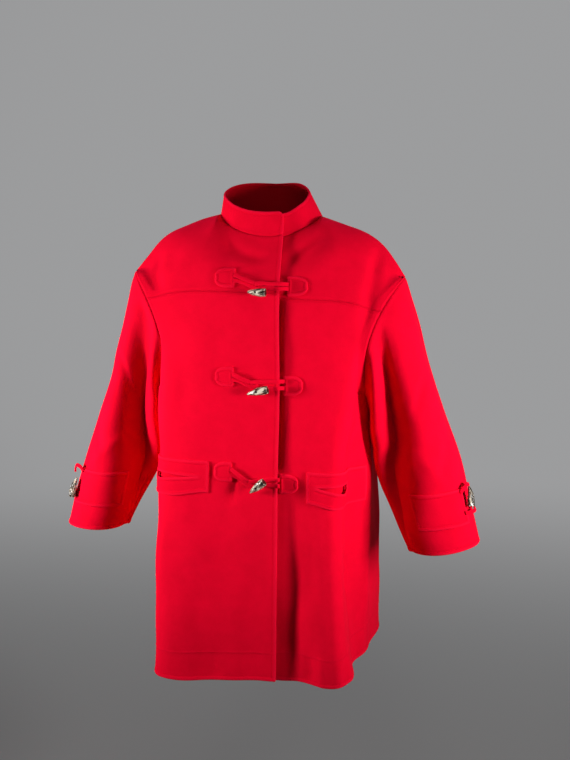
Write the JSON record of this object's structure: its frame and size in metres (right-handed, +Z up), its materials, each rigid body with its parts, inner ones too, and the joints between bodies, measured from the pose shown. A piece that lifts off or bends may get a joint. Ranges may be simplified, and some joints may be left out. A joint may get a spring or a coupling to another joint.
{
  "type": "duffle coat",
  "caption": "Hip-length duffle coat with stand collar, horn toggles and self-cloth loops, slit pockets, front yokes and tabbed cuffs.",
  "frame": {"origin": "middle of the neckline's base, level with its sides, where a neck or a hanger holds the coat", "axes": "+Z up, the front faces -Y, the wearer's left side is at +X"},
  "size_m": [0.8767, 0.3897, 1.0089],
  "materials": {
    "melton": "thick felted wool, matt with a short nap",
    "melton_inside": "the same cloth in shadow, inside the pockets",
    "horn": "satin, streaked like horn"
  },
  "bodies": {
    "root": {"back": "melton", "collar": "melton", "cuff_loop_lower_left": "melton", "cuff_loop_lower_right": "melton", "cuff_loop_upper_left": "melton", "cuff_loop_upper_right": "melton", "cuff_tab_left": "melton", "cuff_tab_right": "melton", "cuff_toggle_left": "horn", "cuff_toggle_right": "horn", "front_left": "melton", "front_right": "melton", "loop_right_1": "melton", "loop_right_2": "melton", "loop_right_3": "melton", "patch_left_1": "melton", "patch_left_2": "melton", "patch_left_3": "melton", "patch_right_1": "melton", "patch_right_2": "melton", "patch_right_3": "melton", "pocket_bag_left": "melton_inside", "pocket_bag_right": "melton_inside", "pocket_frame_left": "melton", "pocket_frame_right": "melton", "sleeve_back_left": "melton", "sleeve_back_right": "melton", "sleeve_front_left": "melton", "sleeve_front_right": "melton", "strap_left_lower_1": "melton", "strap_left_lower_2": "melton", "strap_left_lower_3": "melton", "strap_left_upper_1": "melton", "strap_left_upper_2": "melton", "strap_left_upper_3": "melton", "toggle_1": "horn", "toggle_2": "horn", "toggle_3": "horn", "yoke_left": "melton", "yoke_right": "melton"}
  },
  "joints": []
}
